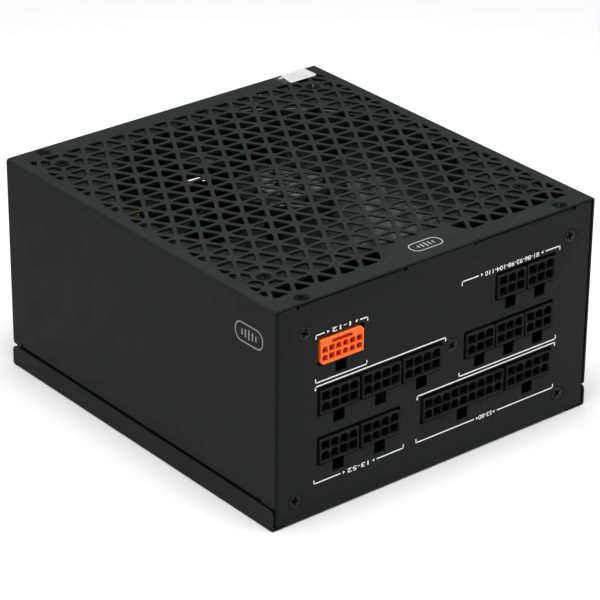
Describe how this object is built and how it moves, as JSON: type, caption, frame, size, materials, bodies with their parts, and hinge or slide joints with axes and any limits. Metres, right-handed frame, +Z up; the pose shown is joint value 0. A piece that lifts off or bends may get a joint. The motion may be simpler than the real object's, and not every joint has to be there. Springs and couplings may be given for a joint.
{
  "type": "power supply unit",
  "caption": "Box-shaped computer power supply with a triangular-lattice fan grille on top, keyed cable sockets at one end and a mains inlet and rocker switch at the other.",
  "frame": {"origin": "centre of the flat underside of the tray", "axes": "+Z up through the fan grille, +X along the 150 mm width, -Y out of the panel with the cable sockets, +Y out of the panel with the mains inlet"},
  "size_m": [0.15, 0.165, 0.0862],
  "materials": {
    "black_steel": "satin",
    "black_screw_steel": "satin",
    "bright_steel": "satin",
    "fan_plastic": "satin",
    "black_nylon": "satin",
    "switch_plastic": "gloss",
    "orange_nylon": "satin",
    "label_paper": "satin",
    "seal_paper": "satin",
    "brass": "polished",
    "copper_winding": "satin",
    "black_cable": "matte",
    "live_wire": "satin",
    "neutral_wire": "satin",
    "earth_wire": "satin",
    "circuit_board": "satin",
    "insulating_film": "satin",
    "bare_aluminium": "satin",
    "ferrite": "matte",
    "winding_tape": "satin",
    "capacitor_sleeve": "satin"
  },
  "bodies": {
    "casing": {"board_screw_1": "bright_steel", "board_screw_2": "bright_steel", "board_screw_3": "bright_steel", "board_screw_4": "bright_steel", "bottom_tray": "black_steel", "bulk_capacitor": "capacitor_sleeve", "cover_screw_1": "black_screw_steel", "cover_screw_2": "black_screw_steel", "cover_screw_3": "black_screw_steel", "cover_screw_4": "black_screw_steel", "fan_bearing": "brass", "fan_cable": "black_cable", "fan_frame": "fan_plastic", "fan_screw_1": "black_screw_steel", "fan_screw_2": "black_screw_steel", "fan_screw_3": "black_screw_steel", "fan_screw_4": "black_screw_steel", "fan_stator": "copper_winding", "inlet_housing": "black_nylon", "inlet_pin_earth": "bright_steel", "inlet_pin_live": "bright_steel", "inlet_pin_neutral": "bright_steel", "insulating_sheet": "insulating_film", "main_board": "circuit_board", "mains_choke": "copper_winding", "mains_wire_earth": "earth_wire", "mains_wire_live": "live_wire", "mains_wire_neutral": "neutral_wire", "output_capacitor": "capacitor_sleeve", "output_heat_sink": "bare_aluminium", "panel_screw_1": "black_screw_steel", "panel_screw_2": "black_screw_steel", "panel_screw_3": "black_screw_steel", "panel_screw_4": "black_screw_steel", "panel_screw_5": "black_screw_steel", "power_choke": "copper_winding", "primary_heat_sink": "bare_aluminium", "seal_sticker": "seal_paper", "socket_10pin": "black_nylon", "socket_12pin": "orange_nylon", "socket_18pin": "black_nylon", "socket_6pin_1": "black_nylon", "socket_6pin_2": "black_nylon", "socket_6pin_3": "black_nylon", "socket_6pin_4": "black_nylon", "socket_6pin_5": "black_nylon", "socket_8pin_1": "black_nylon", "socket_8pin_2": "black_nylon", "socket_8pin_3": "black_nylon", "socket_8pin_4": "black_nylon", "socket_8pin_5": "black_nylon", "socket_board": "circuit_board", "switch_housing": "black_nylon", "top_cover": "black_steel", "transformer_core": "ferrite", "transformer_winding": "winding_tape"},
    "rotor": {"fan_rotor": "fan_plastic", "fan_shaft": "bright_steel", "fan_label": "label_paper"},
    "rocker": {"switch_rocker": "switch_plastic"}
  },
  "joints": [
    {"name": "fan_spin", "type": "hinge", "parent": "casing", "child": "rotor", "pos_m": [0, 0.0042, 0.0745], "axis": [0, 0, 1], "continuous": true},
    {"name": "switch_tip", "type": "hinge", "parent": "casing", "child": "rocker", "pos_m": [0.05, 0.0785, 0.053], "axis": [0, 0, 1], "range_deg": [0, 24]}
  ]
}
